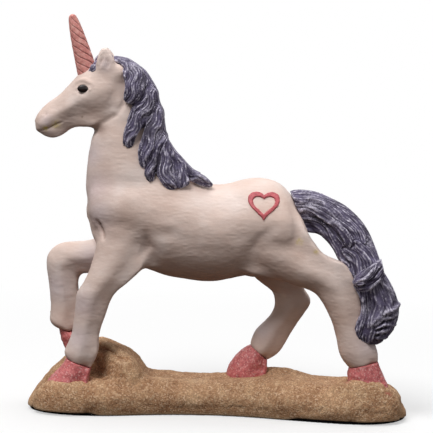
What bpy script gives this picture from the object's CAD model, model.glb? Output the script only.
from math import cos, pi, radians, sin, tau

import bmesh
import bpy
import numpy as np
from mathutils import Matrix, Vector
from mathutils.bvhtree import BVHTree


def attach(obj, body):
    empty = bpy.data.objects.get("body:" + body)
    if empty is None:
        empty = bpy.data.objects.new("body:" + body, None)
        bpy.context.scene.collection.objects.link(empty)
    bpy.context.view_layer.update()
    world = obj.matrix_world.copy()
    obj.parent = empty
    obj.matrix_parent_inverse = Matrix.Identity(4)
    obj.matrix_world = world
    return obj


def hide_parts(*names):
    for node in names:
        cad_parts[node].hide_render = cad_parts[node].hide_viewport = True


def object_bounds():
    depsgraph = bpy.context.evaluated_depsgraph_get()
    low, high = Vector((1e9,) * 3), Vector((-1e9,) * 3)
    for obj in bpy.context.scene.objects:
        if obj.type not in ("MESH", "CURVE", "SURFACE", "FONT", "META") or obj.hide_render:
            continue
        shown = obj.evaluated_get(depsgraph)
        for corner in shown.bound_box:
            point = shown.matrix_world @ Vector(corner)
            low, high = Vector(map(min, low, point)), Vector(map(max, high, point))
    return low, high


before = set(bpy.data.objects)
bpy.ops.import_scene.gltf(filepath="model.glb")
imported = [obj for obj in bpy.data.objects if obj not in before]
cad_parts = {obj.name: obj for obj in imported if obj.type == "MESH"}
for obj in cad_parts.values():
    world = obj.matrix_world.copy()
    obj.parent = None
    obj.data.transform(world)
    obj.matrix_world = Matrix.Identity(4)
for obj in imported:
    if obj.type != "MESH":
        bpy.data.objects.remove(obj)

# A painted unicorn figurine. Its cast body, hair, hooves and sandy base are rebuilt here from the
# frame's solids, with the modelling and the paint that the solids leave out. The scene is in metres, in
# the frame's own axes. The tables of places and sizes are in millimetres.

MM = 0.001
frame_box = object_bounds()

# The photograph's camera, and the size of its picture in pixels
PICTURE = 433
SENSOR = 36.0
ELEVATION = 6.5
ROLL = 1.8
DISTANCE = 0.9
TARGET = (0.0, 0.0, 0.1)
TARGET_PIXEL = (223.2, 214.0)
FOCAL_PIXELS = 1800.0


# Camera


def camera_axes():
    """The camera's place and its right, up and backward directions."""
    lift = radians(ELEVATION)
    back = Vector((0, -cos(lift), sin(lift)))
    right = Vector((1, 0, 0))
    up = back.cross(right)
    turn = radians(ROLL)
    rolled_right = right * cos(turn) + up * sin(turn)
    rolled_up = up * cos(turn) - right * sin(turn)
    return Vector(TARGET) + back * DISTANCE, rolled_right, rolled_up, back


def make_camera():
    """The camera, which looks as the photograph's did."""
    place, right, up, back = camera_axes()
    data = bpy.data.cameras.new("camera")
    camera = bpy.data.objects.new("camera", data)
    bpy.context.collection.objects.link(camera)
    data.sensor_width = SENSOR
    data.lens = FOCAL_PIXELS * SENSOR / PICTURE
    data.shift_x = (PICTURE / 2 - TARGET_PIXEL[0]) / PICTURE
    data.shift_y = (TARGET_PIXEL[1] - PICTURE / 2) / PICTURE
    camera.matrix_world = Matrix.Translation(place) @ Matrix((right, up, back)).transposed().to_4x4()
    bpy.context.scene.camera = camera


# Mesh helpers


def new_object(name, verts, faces):
    """A mesh object from its corners and faces."""
    mesh = bpy.data.meshes.new(name)
    mesh.from_pydata([tuple(v) for v in verts], [], faces)
    mesh.update()
    made = bpy.data.objects.new(name, mesh)
    bpy.context.collection.objects.link(made)
    return made


# Where added egg shapes are cut flat, over the floor
LOBE_FLOOR = 1.6


def joined_copy(name, nodes, lobes):
    """One object that joins copies of the named solids and some egg shapes, each cut flat at a floor."""
    joined = bmesh.new()
    for node in nodes:
        joined.from_mesh(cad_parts[node].data)
    for x, y, z, radii in lobes:
        size = Matrix.Diagonal(Vector((*radii, 1 / MM)) * MM)
        place = Matrix.Translation(Vector((x, y, z)) * MM) @ size
        egg = bmesh.ops.create_uvsphere(joined, u_segments=24, v_segments=16, radius=1, matrix=place)
        for vert in egg["verts"]:
            vert.co.z = max(vert.co.z, LOBE_FLOOR * MM)
    made = new_object(name, [], [])
    joined.to_mesh(made.data)
    joined.free()
    return made


def tube_faces(rings, around):
    """Faces of a tube of rings, closed at both ends."""
    faces = [tuple(range(around))[::-1], tuple(range((rings - 1) * around, rings * around))]
    for ring in range(rings - 1):
        for step in range(around):
            after = (step + 1) % around
            low = ring * around
            faces.append((low + step, low + after, low + around + after, low + around + step))
    return faces


def remesh(thing, voxel):
    """Melts an object's overlapping shells into one even skin, and drops what lies inside it."""
    modifier = thing.modifiers.new("skin", "REMESH")
    modifier.mode = "VOXEL"
    modifier.voxel_size = voxel
    modifier.adaptivity = 0
    graph = bpy.context.evaluated_depsgraph_get()
    graph.update()
    old = thing.data
    thing.data = bpy.data.meshes.new_from_object(thing.evaluated_get(graph))
    thing.modifiers.clear()
    bpy.data.meshes.remove(old)
    keep_largest(thing)


def keep_largest(thing):
    """Keeps the largest connected skin of a mesh."""
    mesh = bmesh.new()
    mesh.from_mesh(thing.data)
    unseen = set(mesh.verts)
    skins = []
    while unseen:
        front = [unseen.pop()]
        skin = list(front)
        while front:
            vert = front.pop()
            for edge in vert.link_edges:
                other = edge.other_vert(vert)
                if other in unseen:
                    unseen.remove(other)
                    skin.append(other)
                    front.append(other)
        skins.append(skin)
    if len(skins) > 1:
        largest = max(skins, key=len)
        stray = [vert for skin in skins if skin is not largest for vert in skin]
        bmesh.ops.delete(mesh, geom=stray, context="VERTS")
        mesh.to_mesh(thing.data)
    mesh.free()


def vectors(items, name):
    """A vector of each vertex as rows of an array."""
    flat = np.empty(len(items) * 3)
    items.foreach_get(name, flat)
    return flat.reshape(-1, 3)


def put_corners(thing, places):
    """Moves an object's vertices."""
    thing.data.vertices.foreach_set("co", places.ravel())
    thing.data.update()


# One round of smoothing draws a surface in and lets it out again by these shares
SMOOTH_STEPS = (0.5, -0.52)


class Net:
    """Which vertices of a mesh are joined, for smoothing and for finding its ridges."""

    def __init__(self, thing):
        ends = np.empty(len(thing.data.edges) * 2, dtype=np.int64)
        thing.data.edges.foreach_get("vertices", ends)
        self.first = np.concatenate((ends[0::2], ends[1::2]))
        self.second = np.concatenate((ends[1::2], ends[0::2]))
        self.count = len(thing.data.vertices)
        self.degree = np.maximum(np.bincount(self.first, minlength=self.count), 1)

    def mean(self, values):
        """The mean of each vertex's neighbours."""
        if values.ndim == 1:
            return np.bincount(self.first, values[self.second], self.count) / self.degree
        return np.stack([self.mean(values[:, axis]) for axis in range(values.shape[1])], axis=1)

    def smooth(self, places, rounds):
        """Evens a surface without shrinking it."""
        for _ in range(rounds):
            for step in SMOOTH_STEPS:
                places = places + (self.mean(places) - places) * step
        return places

    def blur(self, values, rounds):
        """Spreads values over their neighbours."""
        for _ in range(rounds):
            values = (values + self.mean(values)) / 2
        return values


def smooth_step(low, high, values):
    """Runs from 0 to 1 between two values, without a kink."""
    share = np.clip((values - low) / (high - low), 0, 1)
    return share * share * (3 - 2 * share)


def stretch(places, start, end):
    """The share along a stretch at which each place is nearest to it, and the gap from there."""
    span = end - start
    share = np.clip(((places - start) @ span) / max(span @ span, 1e-12), 0, 1)
    return share, places - start - share[:, None] * span


# Large odd numbers that mix the three places of a grid cell, and its seed, into one random number
HASH_FACTORS = (374761393, 668265263, 2147483647)
HASH_SEED = 974711


def lattice(cells, seed):
    """A repeatable random number between 0 and 1 for each cell of a grid."""
    mixed = sum(cells[..., axis] * factor for axis, factor in enumerate(HASH_FACTORS))
    mixed = mixed + seed * HASH_SEED
    mixed = (mixed ^ (mixed >> 13)) * 1274126177
    mixed = mixed ^ (mixed >> 16)
    return (mixed & 0xFFFFFF) / float(0xFFFFFF)


def noise(places, size, seed=0):
    """Smooth noise between -1 and 1, with lumps of about a given size, which may differ by axis."""
    scaled = places / np.asarray(size)
    cell = np.floor(scaled).astype(np.int64)
    part = scaled - cell
    part = part * part * (3 - 2 * part)
    total = np.zeros(len(places))
    for corner in np.ndindex(2, 2, 2):
        weight = np.where(corner, part, 1 - part).prod(axis=1)
        total += weight * lattice(cell + np.array(corner), seed)
    return total * 2 - 1


def put_attribute(thing, name, values):
    """Stores a value on each vertex, for the material to read."""
    layer = thing.data.attributes.new(name, "FLOAT", "POINT")
    layer.data.foreach_set("value", np.clip(values, 0, 1).astype(np.float32))


def convexity(net, places, outward, fine, coarse, reach=24):
    """How far each vertex stands out from what lies round it: 0 in a crease, 1 on a ridge."""
    near = net.blur(((places - net.mean(places)) * outward).sum(axis=1), 1)
    wide = ((places - net.blur(places, reach)) * outward).sum(axis=1)
    return 0.5 + 0.25 * (np.clip(near / fine, -1, 1) + np.clip(wide / coarse, -1, 1))


def finish_piece(thing, nodes, material):
    """Gives a piece its material and says what it stands for."""
    thing.data.materials.clear()
    thing.data.materials.append(material)
    thing.data.polygons.foreach_set("use_smooth", [True] * len(thing.data.polygons))
    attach(thing, "root")
    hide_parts(*nodes)


# Materials


def linear(red, green, blue):
    """A colour written as 0 to 255 screen values, as linear light."""
    values = [channel / 255 for channel in (red, green, blue)]
    return (*[v / 12.92 if v <= 0.04045 else ((v + 0.055) / 1.055) ** 2.4 for v in values], 1.0)


class Paint:
    """A material whose nodes are added one by one."""

    def __init__(self, name, roughness, specular=0.5):
        self.material = bpy.data.materials.new(name)
        self.material.use_nodes = True
        self.nodes = self.material.node_tree.nodes
        self.links = self.material.node_tree.links
        self.shader = self.nodes["Principled BSDF"]
        self.shader.inputs["Roughness"].default_value = roughness
        self.shader.inputs["Specular IOR Level"].default_value = specular
        self.place = self.node("NewGeometry").outputs["Position"]

    def link(self, value, socket):
        """Sets a socket to a number or joins it to another one."""
        if hasattr(value, "is_linked"):
            self.links.new(value, socket)
        else:
            socket.default_value = value

    def node(self, kind, **inputs):
        """Adds a node, with inputs that are set to a number or joined to another node."""
        made = self.nodes.new("ShaderNode" + kind)
        for name, value in inputs.items():
            self.link(value, made.inputs[name])
        return made

    def attribute(self, name):
        """A value that is stored on the mesh."""
        node = self.node("Attribute")
        node.attribute_name = name
        return node.outputs["Fac"]

    def facing(self, axis):
        """Which way the surface faces along an axis: 0 for backward, 1 for forward."""
        way = self.node("SeparateXYZ", Vector=self.node("NewGeometry").outputs["Normal"])
        return self.maths("MULTIPLY_ADD", way.outputs[axis], 0.5, 0.5)

    def clouds(self, size, detail=3.0, rough=0.55, scale=(1, 1, 1)):
        """Noise with lumps of about a given size in metres, stretched by axis."""
        place = self.node("Mapping", Vector=self.place, Scale=scale).outputs["Vector"]
        noise_node = self.node("TexNoise", Vector=place, Scale=1 / size, Detail=detail, Roughness=rough)
        return noise_node.outputs["Fac"]

    def grains(self, size, output="Distance"):
        """Cells of about a given size in metres."""
        return self.node("TexVoronoi", Vector=self.place, Scale=1 / size).outputs[output]

    def ramp(self, value, stops):
        """A ramp of screen colours, or of greys where the stops are numbers."""
        node = self.node("ValToRGB", Fac=value)
        ramp = node.color_ramp
        while len(ramp.elements) < len(stops):
            ramp.elements.new(0.5)
        for element, (position, colour) in zip(ramp.elements, stops):
            element.position = position
            element.color = linear(*colour) if isinstance(colour, tuple) else (colour, colour, colour, 1)
        return node.outputs["Color"]

    def mix(self, share, first, second, how="MIX"):
        """Mixes two colours by a share."""
        node = self.node("Mix")
        node.data_type = "RGBA"
        node.blend_type = how
        self.link(share, node.inputs["Factor"])
        self.link(first, node.inputs["A"])
        self.link(second, node.inputs["B"])
        return node.outputs["Result"]

    def coat(self, tone, where, share, colour):
        """Lays a share of a colour over another one, where a value is high."""
        return self.mix(self.maths("MULTIPLY", where, share), tone, linear(*colour))

    def maths(self, how, first, second=0.0, third=0.0):
        """One step of arithmetic on numbers or sockets."""
        node = self.node("Math")
        node.operation = how
        for socket, value in zip(node.inputs, (first, second, third)):
            self.link(value, socket)
        return node.outputs[0]

    def finish(self, colour, height=None, depth=0.0002, strength=0.5, roughness=None):
        """Joins the colour, the relief and the roughness to the shader."""
        self.link(colour, self.shader.inputs["Base Color"])
        if height is not None:
            bump = self.node("Bump", Strength=strength, Distance=depth, Height=height)
            self.links.new(bump.outputs["Normal"], self.shader.inputs["Normal"])
        if roughness is not None:
            self.links.new(roughness, self.shader.inputs["Roughness"])
        return self.material


def body_paint():
    """Off-white matt paint over cast resin, with brush marks, faint grime and a few yellow specks."""
    paint = Paint("body_paint", 0.62, 0.35)
    tone = paint.ramp(
        paint.clouds(22 * MM, 2.0),
        [(0.3, (214, 187, 174)), (0.5, (224, 201, 190)), (0.7, (232, 214, 206))],
    )
    under = paint.ramp(paint.facing("Z"), [(0.0, 1.0), (0.48, 0.0)])
    tone = paint.coat(tone, under, 0.6, (140, 104, 88))
    tone = paint.coat(tone, paint.attribute("wash"), 0.45, (132, 98, 82))
    tone = paint.coat(tone, paint.attribute("lilac"), 0.55, (204, 188, 192))
    streak = paint.ramp(paint.clouds(1.1 * MM, 4.0, 0.65, (0.28, 1, 1.6)), [(0.3, 0.2), (0.7, 0.8)])
    tone = paint.mix(0.10, tone, streak, "OVERLAY")
    crease = paint.ramp(paint.attribute("ridge"), [(0.14, 1.0), (0.42, 0.0)])
    tone = paint.coat(tone, crease, 0.5, (132, 102, 88))
    blots = paint.ramp(paint.clouds(1.6 * MM), [(0.4, 0.2), (0.6, 1.0)])
    tone = paint.coat(tone, paint.attribute("stain"), blots, (205, 182, 84))
    tone = paint.mix(paint.attribute("mouth"), tone, linear(150, 118, 100))
    brushed = paint.clouds(0.7 * MM, 5.0, 0.7, (0.4, 1, 1.5))
    relief = paint.mix(0.5, brushed, paint.clouds(3.2 * MM, 3.0))
    rough = paint.ramp(paint.clouds(2.5 * MM), [(0.3, 0.52), (0.7, 0.72)])
    return paint.finish(tone, relief, 0.25 * MM, 0.55, rough)


def hair_paint():
    """Dark purple paint, dry brushed with lilac along its ridges."""
    paint = Paint("hair_paint", 0.6, 0.35)
    dark = paint.ramp(
        paint.clouds(5 * MM, 4.0),
        [(0.3, (54, 46, 66)), (0.55, (80, 72, 98)), (0.75, (104, 96, 126))],
    )
    patchy = paint.ramp(paint.clouds(2.2 * MM, 6.0, 0.75), [(0.43, 0.08), (0.60, 1.0)])
    ridge = paint.ramp(paint.attribute("ridge"), [(0.50, 0.0), (0.63, 0.5), (0.80, 1.0)])
    brushed = paint.maths("MULTIPLY", ridge, patchy)
    speckle = paint.ramp(paint.clouds(0.9 * MM, 6.0, 0.8), [(0.46, 0.0), (0.58, 0.8)])
    dusted = paint.maths("MULTIPLY", paint.attribute("dusted"), speckle)
    tone = paint.mix(paint.maths("MAXIMUM", brushed, dusted), dark, linear(212, 206, 222))
    tone = paint.coat(tone, paint.attribute("dim"), 0.75, (38, 30, 46))
    crease = paint.ramp(paint.attribute("ridge"), [(0.15, 1.0), (0.42, 0.0)])
    tone = paint.coat(tone, crease, 0.8, (26, 19, 30))
    return paint.finish(tone, paint.clouds(0.5 * MM, 5.0, 0.7), 0.2 * MM, 0.6)


def horn_paint():
    """Dusty pink paint, darker in the grooves."""
    paint = Paint("horn_paint", 0.6, 0.35)
    tone = paint.ramp(
        paint.clouds(2.4 * MM, 5.0, 0.65),
        [(0.3, (184, 110, 104)), (0.5, (214, 144, 136)), (0.72, (236, 186, 174))],
    )
    groove = paint.ramp(paint.attribute("ridge"), [(0.30, 1.0), (0.80, 0.0)])
    tone = paint.coat(tone, groove, 0.85, (92, 38, 36))
    return paint.finish(tone, paint.clouds(0.6 * MM, 5.0, 0.7), 0.25 * MM, 0.6)


def hoof_paint():
    """Thick rose paint with fine glitter in it."""
    paint = Paint("hoof_paint", 0.5, 0.5)
    flake = 0.55 * MM
    tone = paint.ramp(
        paint.clouds(1.8 * MM, 5.0, 0.7),
        [(0.3, (160, 76, 76)), (0.5, (200, 106, 106)), (0.72, (224, 140, 134))],
    )
    fleck = paint.ramp(paint.grains(flake, "Color"), [(0.72, 0.0), (0.80, 1.0)])
    tone = paint.coat(tone, fleck, 0.5, (240, 196, 190))
    crease = paint.ramp(paint.attribute("ridge"), [(0.25, 1.0), (0.45, 0.0)])
    tone = paint.coat(tone, crease, 0.5, (110, 48, 46))
    rough = paint.ramp(paint.grains(flake, "Color"), [(0.70, 0.62), (0.85, 0.18)])
    return paint.finish(tone, paint.grains(flake), 0.2 * MM, 0.5, rough)


def heart_paint():
    """Rose paint on the raised outline."""
    paint = Paint("heart_paint", 0.5, 0.4)
    tone = paint.ramp(
        paint.clouds(1.2 * MM, 4.0),
        [(0.3, (158, 66, 72)), (0.55, (188, 86, 92)), (0.75, (206, 112, 114))],
    )
    return paint.finish(tone, paint.clouds(0.5 * MM, 4.0), 0.15 * MM, 0.5)


def eye_paint():
    """Near-black gloss paint."""
    paint = Paint("eye_paint", 0.3, 0.35)
    tone = paint.ramp(paint.clouds(1.0 * MM), [(0.4, (16, 9, 9)), (0.6, (34, 20, 20))])
    return paint.finish(tone, paint.clouds(0.5 * MM), 0.05 * MM, 0.3)


def sand_paint():
    """Tan paint under a coat of sand grains, with worn pale patches and pink smudges by the hooves."""
    paint = Paint("sand_paint", 0.85, 0.25)
    grit = 0.6 * MM
    tone = paint.ramp(
        paint.clouds(9 * MM, 4.0),
        [(0.3, (160, 114, 82)), (0.5, (192, 146, 110)), (0.7, (216, 176, 138))],
    )
    grain = paint.ramp(
        paint.grains(grit, "Color"),
        [
            (0.12, (78, 54, 38)),
            (0.4, (150, 114, 84)),
            (0.65, (190, 152, 114)),
            (0.9, (246, 226, 196)),
        ],
    )
    tone = paint.mix(0.42, tone, grain)
    shade = paint.ramp(paint.attribute("ridge"), [(0.2, 1.0), (0.48, 0.0)])
    tone = paint.coat(tone, shade, 0.55, (64, 44, 32))
    worn = paint.ramp(paint.attribute("ridge"), [(0.58, 0.0), (0.80, 0.45)])
    rim = paint.maths("MULTIPLY", paint.attribute("worn"), 0.5)
    tone = paint.mix(paint.maths("MAXIMUM", worn, rim), tone, linear(230, 198, 162))
    tone = paint.coat(tone, paint.attribute("hollow"), 0.6, (92, 62, 42))
    smudge = paint.ramp(paint.clouds(1.8 * MM, 4.0), [(0.42, 0.0), (0.6, 1.0)])
    tone = paint.coat(tone, paint.attribute("smudge"), smudge, (190, 96, 92))
    return paint.finish(tone, paint.grains(grit), 0.35 * MM, 0.7)


def felt_cloth():
    """Black felt."""
    paint = Paint("felt_cloth", 0.95, 0.1)
    fibres = paint.clouds(0.5 * MM, 5.0, 0.7)
    tone = paint.ramp(fibres, [(0.3, (14, 13, 15)), (0.7, (38, 36, 40))])
    return paint.finish(tone, paint.clouds(0.3 * MM, 5.0), 0.3 * MM, 0.8)


def steel():
    """Plain drawn steel, for the hidden rods and pins."""
    paint = Paint("steel", 0.35, 0.5)
    paint.shader.inputs["Metallic"].default_value = 1.0
    tone = paint.ramp(paint.clouds(1.5 * MM, 4.0, 0.6, (1, 1, 0.1)), [(0.3, 0.45), (0.7, 0.62)])
    return paint.finish(tone, paint.clouds(0.6 * MM, 3.0, 0.6, (1, 1, 0.1)), 0.05 * MM, 0.3)


# Sculpting

FRAME_LOW, FRAME_HIGH = (np.array(corner) for corner in frame_box)
# Where rays towards the figurine start, and its half width where a ray misses it, both in metres
RAY_START = 0.2
RAY_MISS = 0.005
# The depth at which a crease is filled fully, and how strongly the filling spreads
CREASE_DEPTH = 0.02
CREASE_SPREAD = 7
# The step between the places where the belly is measured, and half of each one's width
STATION_STEP = 2.0
STATION_REACH = 1.5
# Over what length the belly's rounding fades: at its front, at its rear and under its level
ROUNDING_FADES = (12, 14, 7)
# How near to a line the skin is smoothed after it is drawn in: not at all, and fully
REIN_REACH = (4.0, 1.0)


def sides(both):
    """The sides of the figurine that a move is made on: the near one, or both."""
    return (-1, 1) if both else (-1,)


class Clay:
    """A remeshed skin that can be pressed and raised in places, in the frame's millimetres."""

    def __init__(self, name, nodes, voxel, rounds=2, lobes=()):
        self.thing = joined_copy(name, nodes, lobes)
        remesh(self.thing, voxel * MM)
        self.net = Net(self.thing)
        self.places = self.net.smooth(vectors(self.thing.data.vertices, "co"), rounds)
        self.refresh()

    def refresh(self):
        """Measures the skin's directions anew, and lets later moves find it."""
        put_corners(self.thing, self.places)
        self.outward = vectors(self.thing.data.vertex_normals, "vector")
        self.tree = BVHTree.FromPolygons(
            [tuple(p) for p in self.places], [tuple(f.vertices) for f in self.thing.data.polygons]
        )

    def even(self, rounds, pull, weight):
        """Draws each vertex towards its neighbours, by a weight that differs from place to place."""
        for _ in range(rounds):
            drawn = (self.net.mean(self.places) - self.places) * pull * weight[:, None]
            self.places = self.places + drawn

    def shift(self, amount):
        """Moves the skin outwards by an amount in millimetres for each vertex."""
        self.places = self.places + self.outward * (amount * MM)[:, None]

    def melt(self, rounds, reach):
        """Fills the sharp creases where solids meet, as a modeller's thumb would."""
        stand = ((self.places - self.net.mean(self.places)) * self.outward).sum(axis=1)
        crease = np.clip(-stand / (CREASE_DEPTH * MM), 0, 1)
        self.even(rounds, 0.6, np.clip(self.net.blur(crease, reach) * CREASE_SPREAD, 0, 1))
        self.refresh()

    def skin(self, x, z, side=-1):
        """The point of the skin that is seen from one side, at a given x and z."""
        start = Vector((x * MM, side * RAY_START, z * MM))
        hit = self.tree.ray_cast(start, Vector((0, -side, 0)))[0]
        return np.array(hit if hit else (x * MM, side * RAY_MISS, z * MM))

    def oval(self, x, z, radii, side):
        """A soft oval patch on the skin: 1 at its middle and 0 well outside its radii."""
        away = (self.places - self.skin(x, z, side)) / (np.array(radii) * MM)
        return np.exp(-2 * (away**2).sum(axis=1))

    def dab(self, x, z, radii, height):
        """Raises or presses a soft oval patch on each side."""
        for side in sides(both=True):
            self.shift(self.oval(x, z, radii, side) * height)

    def stroke_distance(self, line, side):
        """How far each vertex lies from a line that is drawn on the skin, and how far along it."""
        points = [self.skin(x, z, side) for x, z in line]
        nearest = np.full(len(self.places), 1.0)
        along = np.zeros(len(self.places))
        for number, (start, end) in enumerate(zip(points, points[1:])):
            share, away = stretch(self.places, start, end)
            gap = np.linalg.norm(away, axis=1)
            closer = gap < nearest
            nearest = np.where(closer, gap, nearest)
            along = np.where(closer, (number + share) / (len(points) - 1), along)
        return nearest, along

    def stroke(self, line, width, height, both=True, taper=0.5):
        """Raises or cuts a soft line, which thins out towards its ends."""
        for side in sides(both):
            gap, along = self.stroke_distance(line, side)
            ends = np.minimum(1, 4 * np.minimum(along, 1 - along) * (1 - taper) + (1 - taper))
            self.shift(np.exp(-2 * (gap / (width * MM)) ** 2) * ends * height)

    def soften(self, x, z, radii, rounds):
        """Blends a soft oval patch on each side into what lies round it."""
        near, far = (self.oval(x, z, radii, side) for side in sides(both=True))
        self.even(rounds, 0.8, np.maximum(near, far))
        self.refresh()

    def round_below(self, first, last, level, floor):
        """Rounds the body like a barrel between two places along it, from a level to its underside."""
        x, y, z = (self.places / MM).T
        stations = np.arange(first, last + 1, STATION_STEP)
        bottoms = [z[(np.abs(x - station) < STATION_REACH) & (z > floor)].min() for station in stations]
        widths = [abs(self.skin(station, level)[1]) / MM for station in stations]
        below = level - z
        depth = level - np.interp(x, stations, bottoms)
        reach = np.sqrt((y / np.interp(x, stations, widths)) ** 2 + (below / depth) ** 2)
        front, rear, under = ROUNDING_FADES
        weight = smooth_step(first, first + front, x) * (1 - smooth_step(last - rear, last, x))
        weight = weight * smooth_step(0, under, below) * (z > floor)
        scale = 1 + (1 / np.maximum(reach, 0.5) - 1) * weight
        self.places[:, 1] *= scale
        self.places[:, 2] = (level - below * scale) * MM
        self.refresh()

    def rein(self, line, kept):
        """Draws in what stands out past a line seen from the side, down to a share of its height."""
        flat = self.places[:, (0, 2)] / MM
        nearest = np.full(len(flat), 1e9)
        excess = np.zeros(flat.shape)
        path = smooth_line(line, 4)
        for start, end in zip(path, path[1:]):
            share, gap = stretch(flat, start, end)
            span = end - start
            outward = np.array((-span[1], span[0])) / np.hypot(*span)
            distance = np.hypot(gap[:, 0], gap[:, 1])
            closer = distance < nearest
            nearest = np.where(closer, distance, nearest)
            past = np.maximum(gap @ outward, 0)[:, None] * outward
            excess = np.where(closer[:, None], past, excess)
        self.places[:, (0, 2)] -= excess * (1 - kept) * MM
        self.even(40, 0.6, smooth_step(*REIN_REACH, nearest))
        self.refresh()

    def patch(self, spots, both=False):
        """A value that is 1 at each of some spots and fades with distance."""
        values = np.zeros(len(self.places))
        for x, z, radius in spots:
            for side in sides(both):
                gap = np.linalg.norm(self.places - self.skin(x, z, side), axis=1)
                values = np.maximum(values, np.exp(-2 * (gap / (radius * MM)) ** 2))
        return values

    def grain(self, size, height, seed):
        """Adds random lumps of a given size."""
        self.shift(noise(self.places, np.array(size) * MM, seed) * height)

    def finish(self, slot, nodes, material, fine=0.06, coarse=0.5, **attributes):
        """Ends the sculpting of a piece."""
        self.places = np.clip(self.places, FRAME_LOW, FRAME_HIGH)
        put_corners(self.thing, self.places)
        outward = vectors(self.thing.data.vertex_normals, "vector")
        ridge = convexity(self.net, self.places, outward, fine * MM, coarse * MM)
        put_attribute(self.thing, "ridge", ridge)
        for name, values in attributes.items():
            put_attribute(self.thing, name, values)
        finish_piece(self.thing, nodes, material)


# Body

LIMBS = ("left_fore", "right_fore", "left_hind", "right_hind")
BODY_NODES = ["trunk", "neck", "head", "left_ear", "right_ear"] + [f"{limb}_leg" for limb in LIMBS]
HIDDEN_NODES = ["leg_rods", "neck_pin", "head_pin", "horn_pin", "tail_pin"]

# The fullness of the nape behind the ears: x, y, z and radii
NAPE_LOBES = [(-54.9, side * 6.0, 168.2, (5.0, 3.6, 5.4)) for side in (-1, 1)]

# The belly is rounded between two places along the body, under a level and over a floor
BELLY = (-40, 20)
BARREL_LEVEL = 94
BELLY_FLOOR = 60

# The middle of the eyes: x and z
EYE = (-70.8, 160.8)

# Round forms, raised or pressed: x, z, radii and height
CHEEK = (-58.5, 153, (8, 6, 8), 0.8)
EYE_SOCKET = (*EYE, (3.8, 3.2, 2.8), -0.7)
NOSE = (-87.5, 146, (4, 4, 4), 0.5)
NOSTRIL = (-89.2, 147.4, (1.4, 1.6, 2.2), -0.45)
CHIN = (-86, 138.6, (4, 4, 2.4), 0.4)
LIP = (-93, 139.6, (3, 5, 2.6), 0.7)
SHOULDER = (-50, 104, (12, 8, 13), 0.8)
HAUNCH = (32, 98, (15, 8, 14), 0.8)

# Places that are blended: x, z, radii and rounds
SHOULDER_BLEND = (-49, 91.5, (14, 8, 6), 60)
EAR_BLEND = (-59.5, 168.8, (7.5, 6, 4.5), 45)
NAPE_BLEND = (-52.5, 163.5, (5, 6, 5), 40)

# Lines, raised or cut: points as x and z, then width and height
SHOULDER_SEAM = ([(-58, 91.8), (-50, 91), (-42, 89.5)], 5, 1.3)
CHEEK_EDGE = ([(-49.8, 160), (-50.8, 153.8), (-54.1, 148.3), (-57.7, 146.2), (-63, 142.6)], 2.2, -0.7)
BROW = ([(-75.4, 162.4), (-73, 164.6), (-70, 165), (-66.5, 163.2)], 1.9, 0.7)
FACE_CREST = ([(-73, 154.5), (-79, 151), (-85, 148)], 2.6, 0.4)
UPPER_LID = ([(-74, 160.9), (-72.4, 162.6), (-70.4, 163.0), (-68.6, 162.2), (-67.2, 160.6)], 0.9, 0.6)
LOWER_LID = ([(-74, 160.3), (-72.2, 159.1), (-70.4, 158.7), (-68.6, 159.2), (-67.2, 160.4)], 0.8, 0.35)
MOUTH = ([(-92.3, 139.1), (-88.8, 140.2), (-84.9, 142), (-81, 143.9)], 0.8, -0.6)
INNER_EAR = ([(-62.6, 172.4), (-62.2, 174.2), (-61.6, 176)], 1.2, -0.5)
OUTER_EAR = ([(-58.9, 171.8), (-58.6, 173.7), (-59.2, 175.6)], 1.2, -0.5)
ARMPIT = ([(-62, 95.8), (-60.2, 92.6), (-58.6, 88)], 1.6, -1.5)
ELBOW = ([(-38, 91), (-36.5, 85), (-40, 79)], 3.0, -0.8)
STIFLE = ([(14, 84), (18, 91), (25, 96)], 3.6, -0.6)

# Layers of brush marks and casting lumps: size by axis, and height
BODY_GRAINS = (((9, 5, 4), 0.18), ((2.6, 1.4, 0.9), 0.06), ((1.2, 1.0, 0.6), 0.035))

# Spots of paint: x, z and radius
STAIN_SPOTS = [(37.7, 89.6, 2.2), (46.2, 84.9, 1.6), (-84, 142.8, 3), (-89, 140.6, 2)]
MOUTH_SPOTS = [(-71, 146.8, 0.6)]
WASH_SPOTS = [(-35, 86, 7), (-35, 80.5, 6), (-61, 93, 3), (-70, 140, 5), (-62, 141, 5)]
LILAC_SPOTS = [
    (-64, 112, 14), (-62, 100, 12), (-66, 75, 10), (-68, 55, 10), (-70, 38, 9), (-84, 60, 10),
    (-66, 128, 10), (-60, 173, 5), (-88, 143, 6), (74, 40, 10), (20, 42, 10),
]

# Where the brown wash under the belly fades: upwards, at its front and at its rear
WASH_LEVELS = (66, 88)
WASH_FRONT = (-44, -32)
WASH_REAR = (18, 38)


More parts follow.
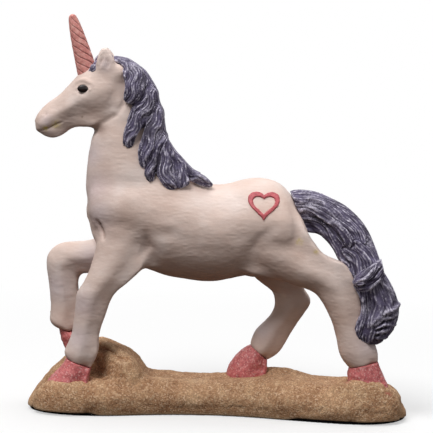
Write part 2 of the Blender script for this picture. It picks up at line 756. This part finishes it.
def make_body():
    """The cast body: trunk, neck, head, ears and legs in one skin."""
    clay = Clay("body_casting", BODY_NODES + HIDDEN_NODES, 0.5, 4, NAPE_LOBES)
    clay.melt(110, 26)
    clay.round_below(*BELLY, BARREL_LEVEL, BELLY_FLOOR)
    clay.stroke(*SHOULDER_SEAM, both=False)
    clay.soften(*SHOULDER_BLEND)
    clay.dab(*CHEEK)
    clay.stroke(*CHEEK_EDGE)
    clay.dab(*EYE_SOCKET)
    clay.stroke(*BROW)
    clay.stroke(*FACE_CREST)
    clay.dab(*NOSE)
    clay.refresh()
    clay.stroke(*UPPER_LID, taper=0.2)
    clay.stroke(*LOWER_LID, taper=0.2)
    clay.dab(*NOSTRIL)
    clay.stroke(*MOUTH)
    clay.dab(*CHIN)
    clay.soften(*EAR_BLEND)
    clay.soften(*NAPE_BLEND)
    clay.dab(*LIP)
    clay.stroke(*INNER_EAR)
    clay.stroke(*OUTER_EAR)
    clay.stroke(*ARMPIT, both=False)
    clay.stroke(*ELBOW, both=False)
    clay.dab(*SHOULDER)
    clay.dab(*HAUNCH)
    clay.stroke(*STIFLE, both=False)
    clay.refresh()
    for seed, (size, height) in enumerate(BODY_GRAINS, 1):
        clay.grain(size, height, seed)
    x, _, z = (clay.places / MM).T
    under = (1 - smooth_step(*WASH_LEVELS, z)) * (z > BELLY_FLOOR)
    under = under * smooth_step(*WASH_FRONT, x) * (1 - smooth_step(*WASH_REAR, x))
    marks = {
        "stain": clay.patch(STAIN_SPOTS),
        "mouth": clay.patch(MOUTH_SPOTS),
        "lilac": clay.patch(LILAC_SPOTS, both=True),
        "wash": np.maximum(clay.patch(WASH_SPOTS, both=True), under),
    }
    clay.finish("body_white", BODY_NODES, body_paint(), 0.09, 0.7, **marks)


# An eye: half its length and height, its bulge, how far it is sunk, how pointed its corners are, and
# how far under its middle the head is measured, clear of the socket
EYE_SIZE = (2.75, 1.95)
EYE_BULGE = 1.0
EYE_SUNK = 0.25
EYE_POINT = 1.2
EYE_CLEAR = 3.4
EYE_RINGS = 20
EYE_AROUND = 24


def make_eye(name, side, paint):
    """An almond eye, set between its lids."""
    half_length, half_height = EYE_SIZE
    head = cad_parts["head"].data
    tree = BVHTree.FromPolygons([v.co for v in head.vertices], [f.vertices[:] for f in head.polygons])
    start = Vector((EYE[0] * MM, side * RAY_START, (EYE[1] - EYE_CLEAR) * MM))
    depth = tree.ray_cast(start, Vector((0, -side, 0)))[0].y / MM - side * EYE_SUNK
    verts = []
    for ring in range(1, EYE_RINGS):
        angle = pi * ring / EYE_RINGS
        reach = sin(angle) ** EYE_POINT
        for step in range(EYE_AROUND):
            turn = tau * step / EYE_AROUND
            x = EYE[0] + half_length * cos(angle)
            y = depth + side * EYE_BULGE * reach * cos(turn)
            z = EYE[1] + half_height * reach * sin(turn)
            verts.append((x * MM, y * MM, z * MM))
    eye = new_object(name, verts, tube_faces(EYE_RINGS - 1, EYE_AROUND))
    finish_piece(eye, ["left_eye" if side < 0 else "right_eye"], paint)


# Hair

# Each line runs down the middle of a lock, as x, z and half width

MANE_LINES = [
    [(-57, 176, 2.4), (-53.5, 175.5, 2.8), (-50.5, 172, 2.6), (-50, 168, 2.2)],
    [(-47.1, 173.7, 3.7), (-44.5, 167.4, 5.3), (-45.3, 160.8, 4.8), (-48.3, 155.3, 2.3), (-48.8, 153.1, 0.6)],
    [(-39, 169, 3.4), (-38.4, 163.5, 3.8), (-40.3, 157.4, 3.6), (-44, 152, 2.4)],
    [
        (-35.5, 162, 3.2), (-38.5, 154.9, 5), (-41.5, 147.9, 4.8),
        (-44.8, 142, 4.4), (-47.4, 137.4, 2.6), (-47.8, 131.2, 0.6),
    ],
    [(-31.8, 150.7, 4.5), (-34.3, 143.8, 5.5), (-36.6, 136.8, 4.5), (-38.4, 130.8, 3.5), (-39.2, 122.9, 0.6)],
    [(-30.5, 138.5, 2.7), (-33.3, 132.5, 3.1), (-35.3, 125.8, 2.7), (-36.9, 120.5, 2.4), (-36, 116.4, 0.6)],
    [(-28.5, 136.6, 3.3), (-29, 129.7, 4.2), (-29.1, 122.7, 4), (-27.2, 117.1, 3.7), (-22.7, 112.3, 0.6)],
    [(-24.1, 129.8, 3.8), (-22.5, 124.9, 4.7), (-20.4, 120, 4.5), (-21.9, 114.3, 1.9)],
    [(-23, 127, 2.6), (-19.5, 122.7, 3.6), (-16.4, 118.3, 3.9), (-10.9, 117.3, 3.7), (-4, 114.6, 0.6)],
]
TAIL_LINES = [
    [(33, 109, 3.4), (42, 110, 3.6), (52, 106.5, 3.8), (60, 101.5, 3.8), (67, 96, 3.2), (69.5, 90, 1.4)],
    [(34, 103.5, 3.2), (43, 103.5, 3.6), (52, 99, 3.8), (58.5, 93.5, 3.6), (62.9, 87.5, 1.8)],
    [(37, 98, 2.6), (45, 97.5, 3.0), (51, 93, 3.2), (55, 87, 3), (58.5, 81, 2.4), (62, 78, 1.4)],
    [(66, 89, 2.4), (70, 86, 3.2), (73.5, 81, 3.4), (75.5, 75, 3), (72, 71, 2.4)],
    [(60.5, 84.5, 2.4), (64.5, 81.5, 3.2), (66.5, 76, 3), (67, 71, 2)],
    [(69, 67, 3.2), (70.5, 59, 3.4), (69.5, 51, 3.2), (67.8, 44.5, 2.2)],
    [(74.5, 69, 3.2), (77, 61, 3.4), (75.5, 53, 3.2), (74, 45, 3), (73.5, 40.5, 1.6)],
    [(79.5, 71.5, 2.4), (83.5, 64, 3.4), (85, 56, 3.6), (83, 48, 3.6), (79.5, 41.5, 2.8)],
]
TWIST_LINE = [(79, 80, 2.6), (76, 75, 3.6), (71, 70.5, 4), (65, 68.5, 3)]
FORELOCK_LINE = [(-58, 177, 2.2), (-62, 174.5, 3), (-66, 170.5, 2.4)]
MANE_NODES = ["mane_crest"] + [f"mane_lock_{number}" for number in range(1, 8)]
MANE_NODES += [f"far_mane_lock_{number}" for number in range(1, 4)]

# The mane's outer outline from the poll to the withers: x and z
MANE_OUTLINE = [
    (-56.6, 177.6), (-50.6, 176.8), (-45.2, 173.5), (-40.6, 170.2),
    (-37, 164.9), (-34.7, 160.6), (-33.3, 154.9), (-31.2, 148.7),
    (-30.1, 141.7), (-28.3, 136), (-24.4, 131.1), (-19.4, 125.5),
    (-15.5, 121.4), (-11.7, 120.1), (-7.7, 117.6), (-4.1, 113.5),
]

# The fullness of the forelock: x, y, z and radii
FORELOCK_LOBES = (
    (-61.8, -2.2, 174.4, (2.6, 2.2, 2.0)),
    (-64.0, -3.8, 172.4, (2.4, 2.2, 2.2)),
    (-65.8, -5.2, 170.6, (2.2, 2.0, 2.4)),
    (-67.0, -5.4, 169.4, (1.6, 1.6, 1.6)),
)

# Folds and steps in the tail: points as x and z, then width and height
TUFT_RIDGES = (
    [(76.5, 50), (80, 53), (84, 53.6), (87.5, 55)],
    [(77, 48.5), (81, 50), (86.5, 49.5)],
    [(76.8, 45.9), (81, 46.8), (86, 45.8)],
    [(77.5, 43.2), (81, 43.2), (84.5, 42)],
)
TUFT_FOLDS = [([(74.5, 49.5), (77, 52.5), (80.6, 56), (84, 57), (88, 59.5)], 1.8, 1.6)]
for ridge_line in TUFT_RIDGES:
    TUFT_FOLDS += [(ridge_line, 1.1, 1.0), ([(x, z - 1.5) for x, z in ridge_line], 0.9, -0.8)]
CLUMP_STEP = [([(45.7, 100.6), (52, 96.8), (57.5, 91.6), (62.9, 86.6), (64.5, 88.5)], 1.3, -1.1)]
TWIST_FOLDS = [
    ([(66.5, 68.2), (71, 70.2), (75.5, 74.5), (78, 79)], 1.2, -1.5),
    ([(66, 70.5), (70.5, 73), (74.5, 77.5)], 1.2, 0.8),
    ([(68.5, 66), (73, 68.2), (77.5, 72.5), (79.8, 77)], 1.2, 0.8),
]

# Where the dry brush went on thickest, and where it didn't reach: x, z and radius
DUSTED_SPOTS = [
    (44, 107, 7), (39, 104, 6), (55, 100, 5), (73, 89, 4),
    (84, 68, 5), (76.5, 51.5, 3), (81, 54.5, 3.4), (86.5, 57, 3.4),
    (71, 57, 4), (-47, 173, 4), (-41.5, 163, 3.5), (-39.5, 150, 4),
    (-33, 139, 4), (-25, 120, 4), (-12, 118, 4),
]
DIM_SPOTS = [
    (79, 42, 6), (45, 96, 5), (52, 89, 5), (57, 82, 5),
    (58, 109, 5), (66, 102, 4.5), (71, 95.5, 4), (-39, 141.4, 4.5),
    (-33.4, 127, 3.5), (-37.8, 118.5, 3), (-47.8, 133, 3), (-48.3, 156.4, 3),
]

# Combed strands: their depth, pitch, its spread between locks, and the pitch of the clumps they lie in
COMB_DEPTH = 0.2
STRAND_PITCH = 1.25
PITCH_SPREAD = 0.35
CLUMP_PITCH = 2.9
# The length of the strands' waves and of the crown's, and how far strands drift
STRAND_WAVE = 12
CROWN_WAVE = 15
DRIFT = 1.1
# A lock's height, its crown's width, and the depth, place and width of the gap beside it
LOCK_HEIGHT = 0.8
CROWN_WIDTH = 0.22
GAP_DEPTH = 0.35
GAP_PLACE = 1.05
GAP_WIDTH = 0.03
# Strands along the crest: their pitch, their clumps' pitch and their waves' length
CREST_PITCH = 1.5
CREST_CLUMP = 3.1
CREST_WAVE = 14


# Weights of the four points round a stretch of a rounded line, for each power of the share along it
ROUNDED = np.array(((0, 2, 0, 0), (-1, 0, 1, 0), (2, -5, 4, -1), (-1, 3, -3, 1))) / 2


def smooth_line(points, steps=8):
    """A rounder line through given points."""
    table = np.array(points, dtype=float)
    padded = np.vstack((2 * table[0] - table[1], table, 2 * table[-1] - table[-2]))
    shares = np.arange(steps)[:, None] / steps
    powers = shares ** np.arange(4) @ ROUNDED
    rounded = [powers @ padded[first : first + 4] for first in range(len(table) - 1)]
    return np.vstack((*rounded, table[-1]))


def nearest_lock(places, lines):
    """For each vertex: its nearest lock, how far across and along it, and its share of the half width."""
    flat = places[:, (0, 2)] / MM
    best = np.full(len(places), 1e9)
    owner = np.zeros(len(places), dtype=int)
    across = np.zeros(len(places))
    along = np.zeros(len(places))
    for number, line in enumerate(lines):
        path = smooth_line(line)
        travelled = 0.0
        for start, end in zip(path, path[1:]):
            span = end[:2] - start[:2]
            length = np.hypot(*span)
            share, gap = stretch(flat, start[:2], end[:2])
            distance = np.linalg.norm(gap, axis=1)
            width = np.maximum(start[2] + (end[2] - start[2]) * share, 0.8)
            measure = distance / width
            closer = measure < best
            side = np.sign(span[0] * gap[:, 1] - span[1] * gap[:, 0])
            best = np.where(closer, measure, best)
            owner = np.where(closer, number, owner)
            across = np.where(closer, side * distance, across)
            along = np.where(closer, travelled + share * length, along)
            travelled += length
    return owner, across, along, best


def comb(clay, lines, seed, wave):
    """Presses strands into a skin, along the lines of its locks, and gives each lock its waves."""
    owner, across, along, share = nearest_lock(clay.places, lines)
    pitch = STRAND_PITCH + PITCH_SPREAD * lattice(np.stack((owner, owner * 3, owner * 7), axis=1), seed)
    table = np.stack((along, across, owner * 7.3), axis=1)
    sway = wave * np.sin(tau * along / STRAND_WAVE + owner * 2.1)
    drift = noise(table * (1, 0.25, 1), (8.0, 1.0, 1.0), seed) * DRIFT
    combed = 0.5 * np.cos(tau * (across + sway + drift) / pitch)
    combed += 0.7 * np.cos(tau * (across + 1.4 * sway + 0.7 * drift) / CLUMP_PITCH + owner)
    combed += 0.8 * noise(table, (8.0, 1.1, 1.0), seed + 1)
    combed += 0.5 * noise(table, (5.0, 0.55, 1.0), seed + 2)
    side = np.sign(across) * np.minimum(share, 1.3)
    crown = 0.5 * np.sin(tau * along / CROWN_WAVE + owner * 1.9 + seed)
    bulge = np.exp(-((side - crown) ** 2) / CROWN_WIDTH) - 0.35
    gap = -np.exp(-((np.clip(share, 0, 1.2) - GAP_PLACE) ** 2) / GAP_WIDTH)
    facing = smooth_step(0.35, 0.85, np.abs(clay.outward[:, 1]))
    level = clay.places / MM
    crest = level[:, 1] + 0.7 * np.sin(tau * level[:, 2] / CREST_WAVE + seed)
    crest = crest + 0.8 * noise(level, (3.0, 2.0, 6.0), seed + 3)
    ridged = 0.6 * np.cos(tau * crest / CREST_PITCH) + 0.8 * np.cos(tau * crest / CREST_CLUMP + seed)
    combed = combed * facing + ridged * (1 - facing)
    clay.shift(COMB_DEPTH * combed + (LOCK_HEIGHT * bulge + GAP_DEPTH * gap) * facing)


# One paint for all the hair
HAIR_COAT = hair_paint()


def make_hair(name, nodes, lines, seed, voxel=0.3, wave=0.25, folds=(), lobes=(), outline=()):
    """A mass of painted locks."""
    clay = Clay(name, nodes, voxel, 4, lobes)
    clay.melt(20, 6)
    if outline:
        clay.rein(outline, 0.1)
    comb(clay, lines, seed, wave)
    clay.refresh()
    for fold in folds:
        clay.stroke(*fold, both=False, taper=0.3)
    clay.refresh()
    clay.grain((0.9, 0.9, 0.9), 0.06, seed + 5)
    marks = {"dusted": clay.patch(DUSTED_SPOTS), "dim": clay.patch(DIM_SPOTS)}
    stands_for = [node for node in nodes if node not in HIDDEN_NODES]
    clay.finish("hair_purple", stands_for, HAIR_COAT, 0.05, 0.35, **marks)


# Horn

HORN_ROOT = (-68.6, 0, 165.8)
HORN_TIP = (-77.9, 0, 197)
HORN_RADIUS = 5.2
HORN_TIP_RADIUS = 0.7
HORN_RINGS = 220
HORN_AROUND = 96
# The share of its length that is sunk into the head, its cone's fullness and its tip's length
HORN_SUNK = 0.12
HORN_FULLNESS = 0.42
HORN_DOME = 1.2
# Its grooves: their number, their turns, their depth and their width, and the lumps' height
HORN_STARTS = 6
HORN_TURNS = 1.35
HORN_GROOVE = 0.34
HORN_GROOVE_WIDTH = 0.035
HORN_LUMP = 0.06


def make_horn():
    """The horn: a blunt cone with fine grooves that wind down it."""
    root = Vector(HORN_ROOT)
    span = Vector(HORN_TIP) - root
    axis = span.normalized()
    side = Vector((0, 1, 0))
    front = side.cross(axis)
    verts = []
    ridge = []
    for ring in range(HORN_RINGS):
        share = -HORN_SUNK + (1 + HORN_SUNK) * ring / (HORN_RINGS - 1)
        taper = (1 - max(share, 0)) ** HORN_FULLNESS
        radius = HORN_TIP_RADIUS + (HORN_RADIUS - HORN_TIP_RADIUS) * taper
        dome = min(1, (1 - share) * span.length / HORN_DOME)
        radius *= (1 - (1 - dome) ** 2) ** 0.5 * 0.98 + 0.02
        for step in range(HORN_AROUND):
            turn = tau * step / HORN_AROUND
            phase = HORN_STARTS * (turn + tau * HORN_TURNS * share)
            waver = 0.16 * sin(3 * turn + 9 * share) + 0.2 * sin(2 * turn - 23 * share)
            groove = np.exp(-(sin((phase + waver) / 2) ** 2) / HORN_GROOVE_WIDTH)
            lump = HORN_LUMP * sin(7 * turn + 31 * share) * sin(4 * turn - 17 * share)
            reach = radius - (HORN_GROOVE * groove + lump) * min(1, taper * 1.6)
            outward = front * cos(turn) + side * sin(turn)
            verts.append((root + axis * (span.length * share) + outward * reach) * MM)
            ridge.append(1 - groove)
    horn = new_object("spiral_horn", verts, tube_faces(HORN_RINGS, HORN_AROUND))
    put_attribute(horn, "ridge", np.array(ridge))
    finish_piece(horn, ["horn"], horn_paint())


# Hooves, base, pad and heart

# Layers of lumps in the paint of the hooves: size by axis, height and seed
HOOF_GRAINS = (((3.4, 3.4, 2.6), 0.3, 50), ((1.3, 1.3, 1.1), 0.14, 60))


def make_hooves():
    """Four hooves in thick, lumpy paint."""
    paint = hoof_paint()
    for number, limb in enumerate(LIMBS):
        clay = Clay(f"{limb}_painted_hoof", [f"{limb}_hoof", "leg_rods"], 0.35, 3)
        for size, height, seed in HOOF_GRAINS:
            clay.grain(size, height, seed + number)
        clay.finish("hoof_pink", [f"{limb}_hoof"], paint, 0.08)


# Lines on the base: points as x and z, then width and height
LEDGE_RIM = ([(-60, 34.5), (-52.5, 34), (-48, 31.8), (-43.5, 28.5), (-39, 24)], 1.8, 0.9)
LEDGE = ([(-60, 29.5), (-55, 30.5), (-50.5, 28.8), (-46.5, 27)], 2.8, -1.8)

# The fullness of the base at its ends and by the hind hooves: x, y, z and radii
SAND_HEAPS = (
    (72.5, -16, 5, (19, 9.3, 17.5)),
    (-74, -16, 5, (18, 9.3, 12.8)),
    (26, 14, 4, (34, 11.4, 16.5)),
)

# Where the sand laps down over the felt: how far, between where it starts and where it ends
LAP_DROP = 1.3
LAP_START = (-64, -57)
LAP_END = (33, 41)
LAP_LEVELS = (1.5, 5)
LAP_FACING = (0.1, 0.5)

# Between which heights the lumps set in, and each layer's size by axis, height and seed
SAND_LEVELS = (3.0, 5.5)
SAND_GRAINS = (((16, 12, 8), 0.5, 71), ((5, 5, 5), 0.3, 72), ((1.3, 1.3, 1.3), 0.22, 73))

# Spots of paint on the base: x, z and radius
WORN_SPOTS = [
    (-56, 34.5, 3), (-50, 33.2, 3), (-45, 30, 3), (-40.5, 25.5, 3),
    (-37, 21.5, 3), (-28, 18.5, 5), (-12, 17, 6),
]
HOLLOW_SPOTS = [(-57, 29.5, 4.5), (-52.5, 29.5, 3), (-61, 24, 3)]
SMUDGES = [
    (-59.1, 37.5, 2.4), (-54, 36, 2.4), (-47.1, 33.3, 1.8), (-44.1, 31.4, 1.6),
    (60.5, 20.6, 1.6), (64, 20.4, 1.8), (84.5, 15.6, 2),
]


def make_base():
    """The sandy base."""
    clay = Clay("sculpted_base", ["sand_base", "leg_rods"], 0.6, 3, SAND_HEAPS)
    clay.melt(50, 14)
    clay.stroke(*LEDGE_RIM, both=False)
    clay.stroke(*LEDGE, both=False)
    clay.refresh()
    x, _, z = (clay.places / MM).T
    lapped = smooth_step(*LAP_START, x) * (1 - smooth_step(*LAP_END, x))
    lapped = lapped * (1 - smooth_step(*LAP_LEVELS, z))
    clay.places[:, 2] -= LAP_DROP * MM * lapped * smooth_step(*LAP_FACING, -clay.outward[:, 1])
    clay.refresh()
    layers = [noise(clay.places, np.array(size) * MM, seed) * height for size, height, seed in SAND_GRAINS]
    clay.shift(sum(layers) * smooth_step(*SAND_LEVELS, clay.places[:, 2] / MM))
    marks = {
        "smudge": clay.patch(SMUDGES),
        "worn": clay.patch(WORN_SPOTS),
        "hollow": clay.patch(HOLLOW_SPOTS),
    }
    clay.finish("sand", ["sand_base"], sand_paint(), 0.12, **marks)


def make_pad():
    """The felt pad, a little fuzzy."""
    clay = Clay("felt_cushion", ["felt_pad"], 0.45, 2)
    above = smooth_step(0.1, 0.6, clay.places[:, 2] / MM)
    clay.shift(noise(clay.places, (0.9 * MM,) * 3, 81) * 0.12 * above)
    clay.finish("felt", ["felt_pad"], felt_cloth())


def make_heart():
    """The heart outline, raised in paint on the flank."""
    clay = Clay("raised_heart", ["flank_heart"], 0.2, 6)
    clay.shift(np.full(len(clay.places), 0.32))
    clay.refresh()
    clay.grain((1.6, 1.6, 1.6), 0.12, 91)
    clay.finish("heart_rose", ["flank_heart"], heart_paint())


# Studio

FLOOR_HALF = 3
# How strongly the white world lights the figurine
AMBIENT = 0.2
# The lamps: name, place, size and power
LAMPS = (
    ("key", (-0.45, -0.6, 1.15), 0.5, 12.5),
    ("fill", (0.9, -0.8, 0.6), 0.9, 1.8),
    ("top", (0.15, 0.25, 1.2), 0.7, 6.5),
)


def make_floor():
    """A plain pale floor, white to the eye away from the figurine, that sends little light up."""
    outline = [(x * FLOOR_HALF, y * FLOOR_HALF, 0) for x, y in ((-1, -1), (1, -1), (1, 1), (-1, 1))]
    floor = new_object("floor", outline, [(0, 1, 2, 3)])
    paint = Paint("floor_paint", 0.9, 0.1)
    tone = paint.ramp(paint.clouds(0.3), [(0.3, (240, 240, 240)), (0.7, (246, 246, 246))])
    seen = paint.node("LightPath").outputs["Is Camera Ray"]
    paint.finish(paint.mix(seen, linear(78, 72, 68), tone))
    length = paint.node("VectorMath", Vector=paint.place)
    length.operation = "LENGTH"
    away = paint.ramp(paint.maths("MULTIPLY", length.outputs["Value"], 1.5), [(0.12, 0.45), (0.6, 1.0)])
    glow = paint.node("Emission", Color=(1, 1, 1, 1))
    blend = paint.node("MixShader", Fac=paint.maths("MULTIPLY", away, seen))
    paint.links.new(paint.shader.outputs["BSDF"], blend.inputs[1])
    paint.links.new(glow.outputs["Emission"], blend.inputs[2])
    paint.links.new(blend.outputs["Shader"], paint.nodes["Material Output"].inputs["Surface"])
    floor.data.materials.append(paint.material)


def make_lamp(name, place, size, power):
    """A soft square lamp that looks at the figurine."""
    data = bpy.data.lights.new(name, "AREA")
    data.shape = "SQUARE"
    data.size = size
    data.energy = power
    lamp = bpy.data.objects.new(name, data)
    bpy.context.collection.objects.link(lamp)
    lamp.location = place
    aim = Vector(TARGET) - Vector(place)
    lamp.rotation_euler = aim.to_track_quat("-Z", "Y").to_euler()


def make_world():
    """White to the eye and in reflections, and dim as a source of light."""
    world = bpy.data.worlds.new("studio")
    bpy.context.scene.world = world
    world.use_nodes = True
    nodes = world.node_tree.nodes
    links = world.node_tree.links
    path = nodes.new("ShaderNodeLightPath")
    bright = path.outputs["Is Camera Ray"]
    for ray in ("Is Glossy Ray", "Is Transmission Ray"):
        either = nodes.new("ShaderNodeMath")
        either.operation = "MAXIMUM"
        links.new(bright, either.inputs[0])
        links.new(path.outputs[ray], either.inputs[1])
        bright = either.outputs[0]
    strength = nodes.new("ShaderNodeMapRange")
    strength.inputs["To Min"].default_value = AMBIENT
    strength.inputs["To Max"].default_value = 1.0
    links.new(bright, strength.inputs["Value"])
    background = nodes["Background"]
    background.inputs["Color"].default_value = (1, 1, 1, 1)
    links.new(strength.outputs["Result"], background.inputs["Strength"])


# The scene

make_camera()
make_body()
make_hair("mane_hair", MANE_NODES, MANE_LINES, 11, wave=0.8, outline=MANE_OUTLINE)
make_hair("forelock_hair", ["forelock"], [FORELOCK_LINE], 15, voxel=0.25, lobes=FORELOCK_LOBES)
make_hair("tail_upper_hair", ["tail_upper", "tail_pin"], TAIL_LINES, 21, folds=CLUMP_STEP)
make_hair("tail_lower_hair", ["tail_lower"], TAIL_LINES, 23, folds=TUFT_FOLDS)
make_hair("tail_twist_hair", ["tail_twist"], [TWIST_LINE], 25, voxel=0.25, folds=TWIST_FOLDS)
make_horn()
make_hooves()
make_base()
make_pad()
make_heart()

gloss = eye_paint()
make_eye("left_almond_eye", -1, gloss)
make_eye("right_almond_eye", 1, gloss)
metal = steel()
for node in HIDDEN_NODES:
    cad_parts[node].data.materials.clear()
    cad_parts[node].data.materials.append(metal)

make_floor()
for lamp in LAMPS:
    make_lamp(*lamp)
make_world()
bpy.context.scene.view_settings.view_transform = "Standard"
